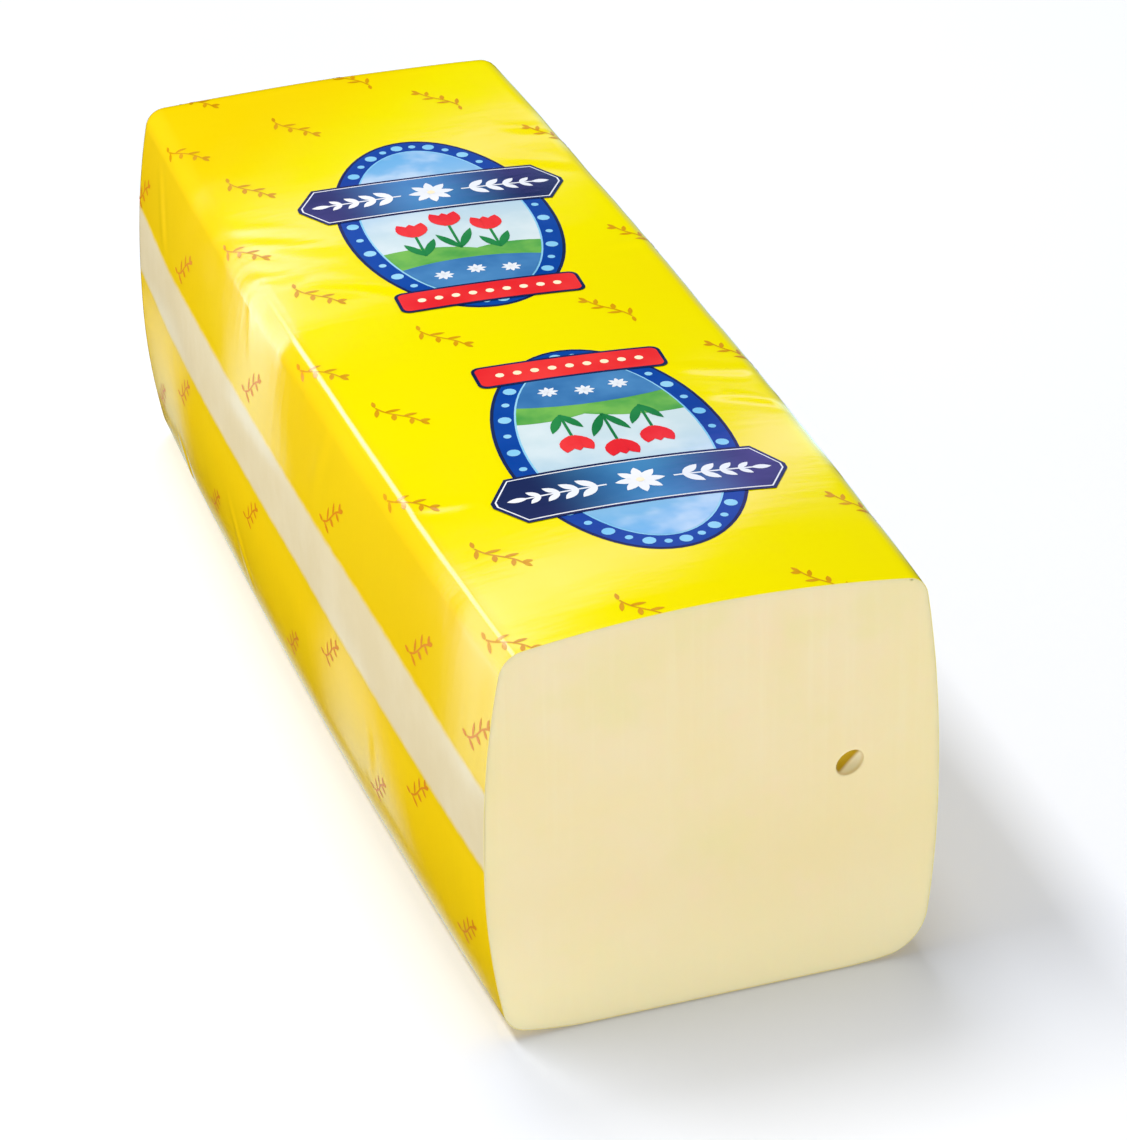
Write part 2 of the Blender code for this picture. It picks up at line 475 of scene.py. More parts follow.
def make_film_pieces(print_material, clear_material, edge_material):
    """Printed film above and below the clear stripes, and the two stripes as one piece."""
    sheet = make_film_sheet()
    smooth(sheet, 50)
    bare = face_means(sheet, "into_stripe") > 0
    over = face_means(sheet, "across") < (STRIPE_TOP + STRIPE_FOOT) / 2 - 6
    masks = {"film_upper": ~bare & over, "film_lower": ~bare & ~over, "film_clear_stripes": bare}
    made = []
    for name, mask in masks.items():
        piece = copy_of(sheet, name)
        keep_faces(piece, mask)
        piece.data.materials[0] = clear_material if mask is bare else print_material
        piece.data.materials[1] = edge_material
        deselect()
        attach(piece, "root")
        made.append(piece)
    bpy.data.objects.remove(sheet, do_unlink=True)
    return made


# Cheese

FACE_STEPS = 120


def face_border():
    """Points round the cut face by side: bottom, right, top and left, each from its low end."""
    top_corner = (49.6, 49.9)
    foot_corner = (136.6, 135.4)
    share = np.linspace(0, 1, FACE_STEPS + 1)
    bottom = np.concatenate([-foot_corner[0] - (GIRTH - sum(foot_corner)) * share])
    right = foot_corner[1] + (top_corner[1] - foot_corner[1]) * share
    top = -top_corner[0] + sum(top_corner) * share
    left = -foot_corner[0] + (foot_corner[0] - top_corner[0]) * share
    return bottom, right, top, left


def make_cut_face():
    """The flat cut face, as a patch between its four sides."""
    bottom, right, top, left = (cheese_place(side, np.full_like(side, CUT)) for side in face_border())
    face = new_grid("cheese", FACE_STEPS, FACE_STEPS)
    uv = points_of(face)
    i, j = (np.rint(uv[:, axis] * FACE_STEPS).astype(int) for axis in (0, 1))
    u, v = uv[:, :1], uv[:, 1:2]
    place = (1 - v) * bottom[i] + v * top[i] + (1 - u) * left[j] + u * right[j]
    place -= (1 - v) * ((1 - u) * bottom[0] + u * bottom[-1]) + v * ((1 - u) * top[0] + u * top[-1])
    place[:, 1] = CUT
    put_points(face, place * MM)
    return face


def make_cheese_skin():
    """The cheese behind the film, from the cut over its far end, on the cut face's border points."""
    bottom, right, top, left = face_border()
    around = np.concatenate((left, top[1:], right[::-1][1:], bottom[::-1][1:]))
    rows = np.concatenate((CUT + np.linspace(0, 1, 10)[:-1] * 14, np.linspace(CUT + 14, END_START, 96)[:-1],
                           np.linspace(END_START, TAIL, 18)))
    skin = new_grid("cheese_skin", len(around) - 1, len(rows) - 1)
    uv = points_of(skin)
    s = around[np.rint(uv[:, 0] * (len(around) - 1)).astype(int)]
    t = rows[np.rint(uv[:, 1] * (len(rows) - 1)).astype(int)]
    put_points(skin, cheese_place(s, t) * MM)
    return skin


def refine_round_eye(piece, reach, cuts):
    pick(piece)
    data = piece.data
    bpy.ops.object.mode_set(mode="EDIT")
    bpy.ops.mesh.select_mode(type="FACE")
    bpy.ops.mesh.select_all(action="DESELECT")
    bpy.ops.object.mode_set(mode="OBJECT")
    middle = Vector((EYE[0] * MM, CUT * MM, EYE[1] * MM))
    for face in data.polygons:
        face.select = (face.center - middle).length < reach * MM
    bpy.ops.object.mode_set(mode="EDIT")
    bpy.ops.mesh.subdivide(number_cuts=cuts)
    bpy.ops.mesh.select_mode(type="VERT")
    bpy.ops.object.mode_set(mode="OBJECT")


def eye_depth(x, z):
    """Depth of the eye, a slanting oval that is deepest a little below its middle."""
    slant = math.radians(EYE_SLANT)
    c, n = math.cos(slant), math.sin(slant)
    turn = np.array(((c, -n), (n, c)))
    point = np.column_stack((x - EYE[0], z - EYE[1])) @ turn / (EYE_LENGTHENED, 1 / EYE_LENGTHENED) @ turn.T
    deepest = np.array(EYE_DEEPEST)
    way = point - deepest
    size = np.maximum((way ** 2).sum(axis=1), 1e-12)
    lean = way @ deepest
    stretch = (-lean + np.sqrt(lean ** 2 + size * (EYE_RADIUS ** 2 - deepest @ deepest))) / size
    share = 1 / stretch
    inside = EYE_DEPTH * np.clip(1 - share ** 2.6, 0, 1) ** 0.75 + 0.1
    lip = 0.1 * np.clip(1 - (share - 1) / 0.28, 0, 1) ** 2
    return np.where(share < 1, inside, lip)


def knife_marks(x, z):
    """Shallow vertical drag marks and a soft unevenness of the cut face."""
    lane = np.random.default_rng(21).uniform(-1, 1, 400)
    wander = x + 0.5 * np.sin(z / 17) + 0.02 * z
    fine = np.interp(wander, np.arange(-70, 70, 0.9), lane[:156])
    broad = np.interp(wander, np.arange(-70, 70, 4.5), lane[200:232])
    return 0.010 * fine + 0.03 * broad + 0.03


def make_cheese(material):
    cheese = join("cheese_loaf", [make_cut_face(), make_cheese_skin()])
    merge_points(cheese, 2e-6)
    refine_round_eye(cheese, 6.5, 3)
    refine_round_eye(cheese, 4.0, 1)
    points = points_of(cheese) / MM
    on_cut = points[:, 1] < CUT + 0.01
    x, z = points[:, 0], points[:, 2]
    rim = np.minimum.reduce([WIDE_LEFT - np.abs(x), z, HEIGHT - z])
    depth = eye_depth(x, z) + knife_marks(x, z) * smooth_step(rim, 3, 8)
    points[:, 1] += np.where(on_cut, depth, 0)
    put_points(cheese, points * MM)
    cheese.data.materials.append(material)
    smooth(cheese, 60)
    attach(cheese, "root")
    return cheese


# Flat shapes of the print, drawn in millimetres before they are laid on the film

def flat_disc(width, height, level, x=0.0, y=0.0, turn=0.0, corners=72):
    """A filled oval. Its level is the order in which the inks were laid down."""
    deselect()
    bpy.ops.mesh.primitive_circle_add(vertices=corners, radius=0.5, fill_type="NGON")
    piece = bpy.context.object
    points = points_of(piece) * (width, height, 0)
    return set_down(piece, points, level, x, y, turn)


def flat_panel(width, height, level, x=0.0, y=0.0, turn=0.0, rounding=0.0):
    """A filled rectangle, with rounded corners if asked."""
    deselect()
    bpy.ops.mesh.primitive_plane_add(size=1)
    piece = bpy.context.object
    put_points(piece, points_of(piece) * (width, height, 0))
    if rounding:
        bpy.ops.object.mode_set(mode="EDIT")
        bpy.ops.mesh.select_all(action="SELECT")
        bpy.ops.mesh.bevel(offset=rounding, segments=6, affect="VERTICES")
        bpy.ops.object.mode_set(mode="OBJECT")
    return set_down(piece, points_of(piece), level, x, y, turn)


def flat_leaf(length, width, level, x=0.0, y=0.0, turn=0.0, corners=16):
    """A leaf that starts at (x, y), pointed at both ends."""
    deselect()
    bpy.ops.mesh.primitive_circle_add(vertices=corners, radius=1, fill_type="NGON")
    piece = bpy.context.object
    points = points_of(piece)
    across = np.sign(points[:, 1]) * (1 - points[:, 0] ** 2) * width / 2
    flat = np.column_stack(((points[:, 0] + 1) * length / 2, across, 0 * across))
    return set_down(piece, flat, level, x, y, turn)


def set_down(piece, points, level, x, y, turn):
    angle = math.radians(turn)
    c, s = math.cos(angle), math.sin(angle)
    moved = np.column_stack((points[:, 0] * c - points[:, 1] * s + x, points[:, 0] * s + points[:, 1] * c + y,
                             np.full(len(points), level)))
    put_points(piece, moved)
    return piece


def trim_flat(piece, x, y, nx, ny):
    """Cut a flat shape along a line and drop the side that the line's normal points to."""
    pick(piece)
    bpy.ops.object.mode_set(mode="EDIT")
    bpy.ops.mesh.select_all(action="SELECT")
    bpy.ops.mesh.bisect(plane_co=(x, y, 0), plane_no=(nx, ny, 0), clear_outer=True)
    bpy.ops.object.mode_set(mode="OBJECT")
    return piece


def slice_flat(piece, step):
    """Cut a flat shape into small squares, so that it can follow the film."""
    points = points_of(piece)
    low, high = points.min(axis=0), points.max(axis=0)
    pick(piece)
    bpy.ops.object.mode_set(mode="EDIT")
    for axis in (0, 1):
        normal = (1, 0, 0) if axis == 0 else (0, 1, 0)
        for place in np.arange(low[axis] + step / 2, high[axis], step):
            bpy.ops.mesh.select_all(action="SELECT")
            bpy.ops.mesh.bisect(plane_co=(place, place, 0), plane_no=normal)
    bpy.ops.object.mode_set(mode="OBJECT")
    return piece


INK_BASE = 0.05
INK_STEP = 0.03


def lay_on_film(piece, places):
    """Copy a flat shape to each (s, t, turn) on the film and bend it to the film's surface."""
    flat = points_of(piece)
    copies = []
    for number, (s, t, turn) in enumerate(places):
        twin = copy_of(piece, f"{piece.name}_{number}")
        angle = math.radians(turn)
        c, n = math.cos(angle), math.sin(angle)
        across = s + flat[:, 0] * c - flat[:, 1] * n
        along = t + flat[:, 0] * n + flat[:, 1] * c
        put_points(twin, film_place(across, along, INK_BASE + INK_STEP * flat[:, 2]) * MM)
        copies.append(twin)
    name = piece.name
    bpy.data.objects.remove(piece, do_unlink=True)
    return join(name, copies)


def trim_at_cut(piece):
    """Drop the print that the knife took off with the rest of the loaf."""
    pick(piece)
    bpy.ops.object.mode_set(mode="EDIT")
    bpy.ops.mesh.select_all(action="SELECT")
    bpy.ops.mesh.bisect(plane_co=(0, (CUT + 0.1) * MM, 0), plane_no=(0, -1, 0), clear_outer=True)
    bpy.ops.object.mode_set(mode="OBJECT")


def print_piece(name, shapes, places, material, step=3.0):
    """Join flat shapes of one ink, lay them on the film and give them their ink."""
    piece = join(name + "_flat", shapes)
    if step:
        slice_flat(piece, step)
    piece = lay_on_film(piece, places)
    trim_at_cut(piece)
    piece.name = name
    piece.data.name = name
    piece.data.materials.clear()
    piece.data.materials.append(material)
    pick(piece)
    bpy.ops.object.shade_smooth()
    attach(piece, "root")


# Emblem: an oval with a beaded rim, a banner near its top, a meadow with flowers and a red swag at its foot

OVAL_WIDE = 50.0
OVAL_TALL = 95.0
BANNER_WIDE = 66.0
BANNER_TALL = 20.0
BANNER_Y = 17.0
EMBLEM_PLACES = [(4.7, 46.0, -3.6), (4.3, -77.0, 176.4)]
FIELD_WIDE = 40.0
FIELD_TALL = 84.0
BEADS_HALF_WIDE = 22.5
BEADS_HALF_TALL = 44.9


def field_disc(level):
    return flat_disc(FIELD_WIDE, FIELD_TALL, level)


def hill(level, x, top, radius):
    """The part of the oval's field below a round hilltop."""
    piece = field_disc(level)
    for angle in np.linspace(30, 150, 25):
        nx, ny = math.cos(math.radians(angle)), math.sin(math.radians(angle))
        trim_flat(piece, x + radius * nx, top - radius + radius * ny, nx, ny)
    return piece


def banner(level, shrink, rounding):
    """The banner: a long panel whose ends come to a blunt point."""
    half = BANNER_WIDE / 2 - shrink
    piece = flat_panel(2 * half, BANNER_TALL - 2 * shrink, level, y=BANNER_Y, rounding=rounding)
    for side in (-1, 1):
        for rise in (-1, 1):
            nx, ny = side * 0.86, rise * 0.51
            trim_flat(piece, side * half, BANNER_Y + rise * 1.0, nx, ny)
    return piece


def rim_beads(level, count=36):
    """Large and small round beads by turns, on an oval in the middle of the rim."""
    shapes = []
    for number in range(count):
        angle = 2 * math.pi * (number + 0.5) / count
        size = 3.0 if number % 2 else 1.8
        x, y = BEADS_HALF_WIDE * math.cos(angle), BEADS_HALF_TALL * math.sin(angle)
        shapes.append(flat_disc(size, size, level, x, y, corners=14))
    return shapes


def daisy(level, x, y, size):
    return [flat_leaf(size, size * 0.42, level, x, y, turn) for turn in range(0, 360, 45)]


def garland(level, y, reach, side):
    """A stem with pairs of leaves that runs to one side from the banner's middle."""
    shapes = [flat_panel(reach, 0.55, level, side * (7.5 + reach / 2), y)]
    for number in range(4):
        x = side * (9.5 + number * reach / 4.3)
        size = 5.6 - 0.6 * number
        for rise in (-1, 1):
            turn = rise * 42 if side > 0 else 180 - rise * 42
            shapes.append(flat_leaf(size, size * 0.42, level, x, y, turn))
    shapes.append(flat_leaf(4.6, 1.9, level, side * (7.5 + reach - 0.5), y, 0 if side > 0 else 180))
    return shapes


def tulip_leaves(level, x, foot, tall):
    return [flat_panel(0.7, tall, level, x, foot + tall / 2),
            flat_leaf(tall * 0.8, 2.3, level, x, foot, 66),
            flat_leaf(tall * 0.7, 2.3, level, x, foot, 116)]


def tulip_head(level, x, y, size):
    return [flat_leaf(size * 1.25, size * 0.62, level, x - size * 0.08, y - size * 0.2, 108),
            flat_leaf(size * 1.25, size * 0.62, level, x + size * 0.08, y - size * 0.2, 72),
            flat_leaf(size * 1.15, size * 0.6, level, x, y - size * 0.2, 90)]


TULIPS = [(-9.5, -17.5, 12.0), (-0.5, -15.5, 14.0), (8.5, -17.5, 11.5)]


def make_emblems(inks):
    def lay(name, shapes, ink):
        print_piece(name, shapes, EMBLEM_PLACES, inks[ink])

    lay("print_outline", [flat_disc(OVAL_WIDE + 1.6, OVAL_TALL + 1.6, 0), banner(4.6, 0, 1.6),
                          flat_panel(43.6, 10.4, 4.6, y=-40, rounding=2.2)], "outline")
    lay("print_rim", [flat_disc(OVAL_WIDE, OVAL_TALL, 1)], "royal")
    lay("print_beads", rim_beads(2) + [flat_disc(FIELD_WIDE + 0.9, FIELD_TALL + 0.9, 2)], "pale")
    lay("print_sky", [field_disc(3)], "sky")
    lay("print_meadow", [hill(3.5, -12, -13, 34), hill(3.8, 12, -15, 28)], "meadow")
    lay("print_ground", [hill(4.2, 0, -21, 60)], "ground")
    buds = [shape for x in (-8, 0, 8) for shape in daisy(4.8, x, -27.5 - 0.02 * x * x, 2.4)]
    lay("print_white", [banner(5.2, 0.9, 1.3)] + garland(7, BANNER_Y, 18, -1) + garland(7, BANNER_Y, 18, 1)
        + daisy(7, 0, BANNER_Y, 5.6) + buds, "white")
    lay("print_banner", [banner(6, 1.3, 1.1)], "navy")
    stems = [shape for x, foot, tall in TULIPS for shape in tulip_leaves(4.6, x, foot, tall)]
    lay("print_stems", stems, "leaf")
    heads = [shape for x, foot, tall in TULIPS for shape in tulip_head(5.2, x, foot + tall, 6.4)]
    lay("print_red", heads + [flat_panel(42, 8.8, 5.4, y=-40, rounding=1.6)], "red")
    lay("print_dots", [flat_disc(2.0, 2.0, 6.2, x, -40, corners=12) for x in np.linspace(-16, 16, 9)]
        + [flat_disc(1.9, 1.9, 8, 0, BANNER_Y, corners=16)], "cream")


# Small sprigs all over the film

SPRIG_SLANT = -57
UPRIGHT = [(-15, (112, -13, -79, -146)), (-35, (139, 82, 20, -44, -112)), (-45, (109, 50, -16, -81, -144)),
           (-68, (133, 86, 20, -46, -107, -143)), (-102, (87, 21, -46, -108)),
           (-121, (124, 64, -8, -75, -134)), (-150, (98, 34, -30, -94)), (-170, (130, 66, 2, -62, -126))]
TURNED = [(7, (137,)), (25, (117, -11, -147)), (45, (88, 26, -40, -116)), (68, (120, 56, -8, -72, -132)),
          (118, (96, 32, -32, -96)), (134, (128, 64, 0, -64, -128)), (152, (96, 32, -32, -96)),
          (172, (128, 64, 0, -64, -128))]


def sprig_shapes():
    """A little stem with small leaves, 14 mm long."""
    stem = flat_panel(13.4, 0.45, 0)
    shapes = [stem]
    for number in range(6):
        x = -6.0 + number * 2.3
        side = 1 if number % 2 else -1
        shapes.append(flat_leaf(3.7 - 0.2 * number, 1.15, 0, x, 0, side * 50))
    shapes.append(flat_leaf(2.8, 1.1, 0, 5.8, 0, 10))
    shapes.append(flat_leaf(2.6, 1.1, 0, -6.9, 0, 150))
    return shapes


def make_sprigs(ink):
    places = [(s, t, SPRIG_SLANT) for s, stations in UPRIGHT for t in stations]
    places += [(s, t, SPRIG_SLANT + 180) for s, stations in TURNED for t in stations]
    stem = join("sprig", sprig_shapes())
    slice_flat(stem, 1.3)
    flat = points_of(stem)
    flat[:, 1] += 0.55 * np.sin(flat[:, 0] / 2.4)
    put_points(stem, flat)
    print_piece("print_sprigs", [stem], places, ink, step=None)


# Materials

class Wire:
    """An output of a node. Sums and products of wires add Math nodes."""

    def __init__(self, tree, socket=None):
        self.tree = tree
        self.socket = socket

    def node(self, kind, settings=None, inputs=None, output=0):
        """Add a node: its settings first, then the value or link of each named socket."""
        made = self.tree.nodes.new(kind)
        for name, value in (settings or {}).items():
            setattr(made, name, value)
        for name, value in (inputs or {}).items():
            if isinstance(value, Wire):
                self.tree.links.new(value.socket, made.inputs[name])
            else:
                made.inputs[name].default_value = value
        return Wire(self.tree, made.outputs[output])

    def maths(self, operation, first, second):
        return self.node("ShaderNodeMath", {"operation": operation}, {0: first, 1: second})

    def __add__(self, other):
        return self.maths("ADD", self, other)

    def __radd__(self, other):
        return self.maths("ADD", other, self)

    def __sub__(self, other):
        return self.maths("SUBTRACT", self, other)

    def __rsub__(self, other):
        return self.maths("SUBTRACT", other, self)

    def __mul__(self, other):
        return self.maths("MULTIPLY", self, other)

    def __rmul__(self, other):
        return self.maths("MULTIPLY", other, self)

    def step(self, low, high):
        """0 below low, 1 above high, smooth between."""
        return self.node("ShaderNodeMapRange", {"interpolation_type": "SMOOTHSTEP"},
                         {"Value": self, "From Min": low, "From Max": high})

    def mix(self, first, second):
        """Colour that goes from first to second as this wire goes from 0 to 1."""
        return self.node("ShaderNodeMix", {"data_type": "RGBA"}, {0: self, 6: first, 7: second}, 2)


def new_material(name, settings):
    """A material with one Principled shader. Returns it, the shader and a wire to start from."""
    material = bpy.data.materials.new(name)
    material.use_nodes = True
    shader = material.node_tree.nodes["Principled BSDF"]
    for socket, value in settings.items():
        shader.inputs[socket].default_value = value
    return material, shader, Wire(material.node_tree)


def link(wire, shader, socket):
    wire.tree.links.new(wire.socket, shader.inputs[socket])


def colour(red, green, blue):
    """Linear colour of an sRGB colour given in 0 to 255."""
    shares = (value / 255 for value in (red, green, blue))
    return tuple(v / 12.92 if v <= 0.04045 else ((v + 0.055) / 1.055) ** 2.4 for v in shares) + (1,)


FILM_GLOSS = {"Roughness": 0.10, "IOR": 1.45, "Specular IOR Level": 0.5}


def object_place(wire):
    return wire.node("ShaderNodeTexCoord", output=3)


def noise(wire, place, scale, detail=2.0, roughness=0.5):
    return wire.node("ShaderNodeTexNoise", None,
                     {"Vector": place, "Scale": scale, "Detail": detail, "Roughness": roughness})


def axes_of(wire, place):
    return [wire.node("ShaderNodeSeparateXYZ", None, {"Vector": place}, axis) for axis in range(3)]


def film_bump(wire, shader, place):
    """Faint pull lines and grain of the thin film."""
    stretched = wire.node("ShaderNodeMapping", None, {"Vector": place, "Scale": (60, 300, 60)})
    pulls = noise(wire, stretched, 1.0, 3.0, 0.6)
    grain = noise(wire, place, 900.0, 2.0)
    height = pulls * 0.8 + grain * 0.2
    bump = wire.node("ShaderNodeBump", None, {"Height": height, "Strength": 0.10, "Distance": 0.0002})
    link(bump, shader, "Normal")


def printed_film_material():
    """Bright yellow print, with painted shade that turns it more golden down the sides and painted light on
    the lower sides, uneven where the film is pulled thin.
    """
    material, shader, wire = new_material("film_print", FILM_GLOSS)
    place = object_place(wire)
    x, y, _ = axes_of(wire, place)
    across = wire.node("ShaderNodeAttribute", {"attribute_name": "across"}, output=2)
    # Painted shade: the print turns more golden down the sides, where less light falls on it
    on_right = x.step(-0.02, 0.02)
    down = across.step(42.5, 47.5) * (1 - on_right) + across.step(52.0, 60.0) * on_right
    tone = noise(wire, place, 14.0, 3.0).step(0.35, 0.7)
    cloud = noise(wire, place, 55.0, 4.0, 0.6).step(0.3, 0.75)
    lemon = tone.mix(colour(246, 233, 0), colour(245, 228, 0))
    golden = tone.mix(colour(246, 210, 20), colour(244, 203, 18))
    # Painted light: the lower side is made brighter, standing in for light bounced up from the floor
    golden = across.step(84.0, 104.0).mix(golden, colour(255, 214, 16))
    far_left = (y - x * 0.9).step(0.096, 0.142)
    base = down.mix(far_left.mix(lemon, colour(246, 213, 4)), golden)
    base = (cloud * 0.10).mix(base, colour(246, 224, 10))
    link(base, shader, "Base Color")
    link(0.07 + cloud * 0.04, shader, "Roughness")
    film_bump(wire, shader, place)
    return material


def clear_film_material():
    """Clear film flat on the cheese, whose cream shows through. The print frays out over its edges."""
    material, shader, wire = new_material("film_clear", FILM_GLOSS)
    place = object_place(wire)
    haze = noise(wire, place, 34.0, 4.0, 0.6).step(0.35, 0.7)
    frayed = noise(wire, place, 240.0, 2.0) - 0.5
    inside = wire.node("ShaderNodeAttribute", {"attribute_name": "into_stripe"}, output=2) + frayed
    bare = inside.step(0.0, 2.0)
    cream = haze.mix(colour(235, 219, 177), colour(240, 226, 188))
    link(bare.mix(colour(243, 206, 30), cream), shader, "Base Color")
    link(0.08 + haze * 0.05, shader, "Roughness")
    film_bump(wire, shader, place)
    return material


def film_edge_material():
    """The film's cut edge, pale where the knife left it."""
    material, shader, wire = new_material("film_edge", {"Roughness": 0.35, "IOR": 1.45})
    tone = noise(wire, object_place(wire), 220.0, 2.0).step(0.3, 0.7)
    link(tone.mix(colour(238, 222, 140), colour(244, 230, 160)), shader, "Base Color")
    return material


def cheese_material():
    """Cream cheese paste: cloudy, with faint vertical drag streaks, painted paler towards the foot, with
    painted shade deep in the eye and painted light on its slope.
    """
    material, shader, wire = new_material("cheese_paste", {
        "Roughness": 0.42, "IOR": 1.42, "Specular IOR Level": 0.35,
        "Subsurface Weight": 0.35, "Subsurface Radius": (0.0020, 0.0015, 0.0009), "Subsurface Scale": 1.0})
    place = object_place(wire)
    x, y, z = axes_of(wire, place)
    cloud = noise(wire, place, 26.0, 4.0, 0.55).step(0.33, 0.68)
    paste = cloud.mix(colour(241, 224, 180), colour(240, 222, 168))
    blush = noise(wire, place, 75.0, 3.0, 0.6).step(0.52, 0.75)
    paste = (blush * 0.7).mix(paste, colour(243, 221, 178))
    butter = noise(wire, place, 42.0, 3.0, 0.6).step(0.5, 0.72)
    paste = (butter * 0.7).mix(paste, colour(236, 223, 165))
    edge = 1 - z.step(0.002, 0.022) * (1 - x.step(0.026, 0.054)) * x.step(-0.054, -0.036)
    paste = (edge * 0.5).mix(paste, colour(240, 226, 166))
    # Painted light: the paste is paler towards the foot, standing in for light that the shaded floor in front
    # does not bounce up
    foot = 1 - z.step(0.0, 0.036)
    paste = (foot * 0.7).mix(paste, colour(252, 238, 192))
    lanes = wire.node("ShaderNodeMapping", None, {"Vector": place, "Scale": (420, 30, 14)})
    streak = noise(wire, lanes, 1.0, 3.0, 0.6).step(0.45, 0.8)
    paste = (streak * z.step(0.02, 0.08) * 0.25).mix(paste, colour(245, 233, 194))
    off_x, off_z = x - EYE[0] * MM, z - EYE[1] * MM
    to_eye = off_x * off_x + off_z * off_z
    in_eye = (1 - to_eye.step(0.0037 ** 2, 0.0042 ** 2)) * y.step(CUT * MM + 0.0003, CUT * MM + 0.0014)
    # Painted shade and light in the eye: olive where it is deep and shade falls, pale cream on the slope that
    # catches the light
    painted_eye_shade = (z - x + y - (EYE[1] - EYE[0] + CUT) * MM).step(-0.0004, 0.0012)
    paste = in_eye.mix(paste, painted_eye_shade.mix(colour(255, 247, 214), colour(192, 158, 22)))
    link(paste, shader, "Base Color")
    link(0.38 + cloud * 0.12, shader, "Roughness")
    grain = noise(wire, place, 700.0, 3.0, 0.6)
    height = streak * 0.6 + grain * 0.4
    link(wire.node("ShaderNodeBump", None, {"Height": height, "Strength": 0.35, "Distance": 0.00012}),
         shader, "Normal")
    return material


def ink_material(name, first, second, scale=45.0, on_left=None):
    """A printed ink under the film's gloss, uneven between two tones, and another one on the left side."""
    material, shader, wire = new_material(name, FILM_GLOSS)
    place = object_place(wire)
    tone = noise(wire, place, scale, 3.0, 0.55).step(0.3, 0.7)
    ink = tone.mix(first, second)
    if on_left:
        x, _, _ = axes_of(wire, place)
        ink = x.step(-0.0490, -0.0455).mix(on_left, ink)
    link(ink, shader, "Base Color")
    link(0.14 + tone * 0.05, shader, "Roughness")
    film_bump(wire, shader, place)
    return material


def navy_ink():
    """Deep navy that turns to a lighter blue in the banner's middle."""
    material, shader, wire = new_material("ink_navy", FILM_GLOSS)
    place = object_place(wire)
    x, _, _ = axes_of(wire, place)
    off_middle = wire.node("ShaderNodeMath", {"operation": "ABSOLUTE"}, {0: x - 0.005}).step(0.000, 0.024)
    tone = noise(wire, place, 60.0, 3.0).step(0.3, 0.7)
    middle = tone.mix(colour(56, 122, 178), colour(70, 138, 190))
    link(off_middle.mix(middle, colour(30, 44, 88)), shader, "Base Color")
    film_bump(wire, shader, place)
    return material


def sky_ink():
    """Pale sky, brighter towards the horizon, blue near the top of each emblem."""
    material, shader, wire = new_material("ink_sky", FILM_GLOSS)
    place = object_place(wire)
    _, y, _ = axes_of(wire, place)
    cloud = noise(wire, place, 70.0, 3.0).step(0.42, 0.7)
    rear = y.step(0.032, 0.088)
    front = 1 - y.step(-0.119, -0.063)
    high = rear * y.step(-0.016, -0.014) + front * (1 - y.step(-0.016, -0.014))
    sky = high.mix(colour(206, 226, 232), colour(104, 176, 224))
    link((cloud * 0.5).mix(sky, colour(232, 242, 246)), shader, "Base Color")
    film_bump(wire, shader, place)
    return material


def make_inks():
    return {
        "outline": ink_material("ink_outline", colour(18, 34, 74), colour(28, 46, 92)),
        "royal": ink_material("ink_royal", colour(0, 62, 152), colour(10, 74, 166)),
        "pale": ink_material("ink_pale_blue", colour(120, 196, 236), colour(156, 216, 244)),
        "sky": sky_ink(),
        "meadow": ink_material("ink_meadow", colour(72, 160, 74), colour(122, 190, 84), 90.0),
        "ground": ink_material("ink_ground", colour(52, 112, 172), colour(78, 140, 194), 60.0),
        "white": ink_material("ink_white", colour(244, 246, 250), colour(232, 238, 246)),
        "navy": navy_ink(),
        "leaf": ink_material("ink_leaf", colour(20, 118, 62), colour(40, 140, 70)),
        "red": ink_material("ink_red", colour(232, 38, 44), colour(244, 62, 58)),
        "cream": ink_material("ink_cream", colour(255, 244, 214), colour(255, 238, 196)),
        "sprig": ink_material("ink_sprig", colour(214, 150, 0), colour(222, 163, 4), 120.0,
                              on_left=colour(234, 146, 24)),
    }


# Camera, as fitted to the loaf
CAMERA_PLACE = (-0.26498, -0.86492, 0.54160)
CAMERA_RIGHT = (0.946945, -0.320788, -0.019735)
CAMERA_UP = (0.175802, 0.465596, 0.867361)
FOCAL_PIXELS = 4425.3
IMAGE_TALL = 1140


# Studio

def make_floor():
    deselect()
    bpy.ops.mesh.primitive_plane_add(size=8)
    floor = bpy.context.object
    floor.name = "studio_floor"
    material, shader, wire = new_material("studio_floor", {
        "Roughness": 0.9, "Specular IOR Level": 0.1,
        "Emission Color": (0.93, 0.97, 1.0, 1), "Emission Strength": 0.12})
    place = object_place(wire)
    tone = noise(wire, place, 3.0, 2.0)
    x, y, _ = axes_of(wire, place)
    # Painted shadow: the floor is painted bluer and a little darker beside the loaf, as a contact shadow
    painted_contact_shade = x.step(-0.10, -0.052) * (1 - x.step(0.055, 0.18)) * y.step(-0.22, -0.15)
    paper = tone.mix(colour(230, 232, 237), colour(231, 233, 238))
    link(painted_contact_shade.mix(paper, colour(225, 229, 239)), shader, "Base Color")
    floor.data.materials.append(material)
    floor.visible_glossy = False


def soft_box(name, place, target, along, length, width, power):
    """A lamp that shines on the target with its long side along the given direction."""
    data = bpy.data.lights.new(name, "AREA")
    data.shape = "RECTANGLE"
    data.size = length
    data.size_y = width
    data.energy = power
    back = (Vector(place) - Vector(target)).normalized()
    across = back.cross(Vector(along)).normalized()
    lamp = bpy.data.objects.new(name, data)
    turn = Matrix((across.cross(back), across, back)).transposed().to_4x4()
    lamp.matrix_world = Matrix.Translation(place) @ turn
    lamp.visible_camera = False
    lamp.visible_glossy = False
    bpy.context.scene.collection.objects.link(lamp)


CARD_STRENGTH = 9.0
CARD_DISTANCE = 420.0
CARD_COOL = (0.42, 0.30, 1.0, 1)
CARD_PALE = (0.45, 0.75, 1.0, 1)

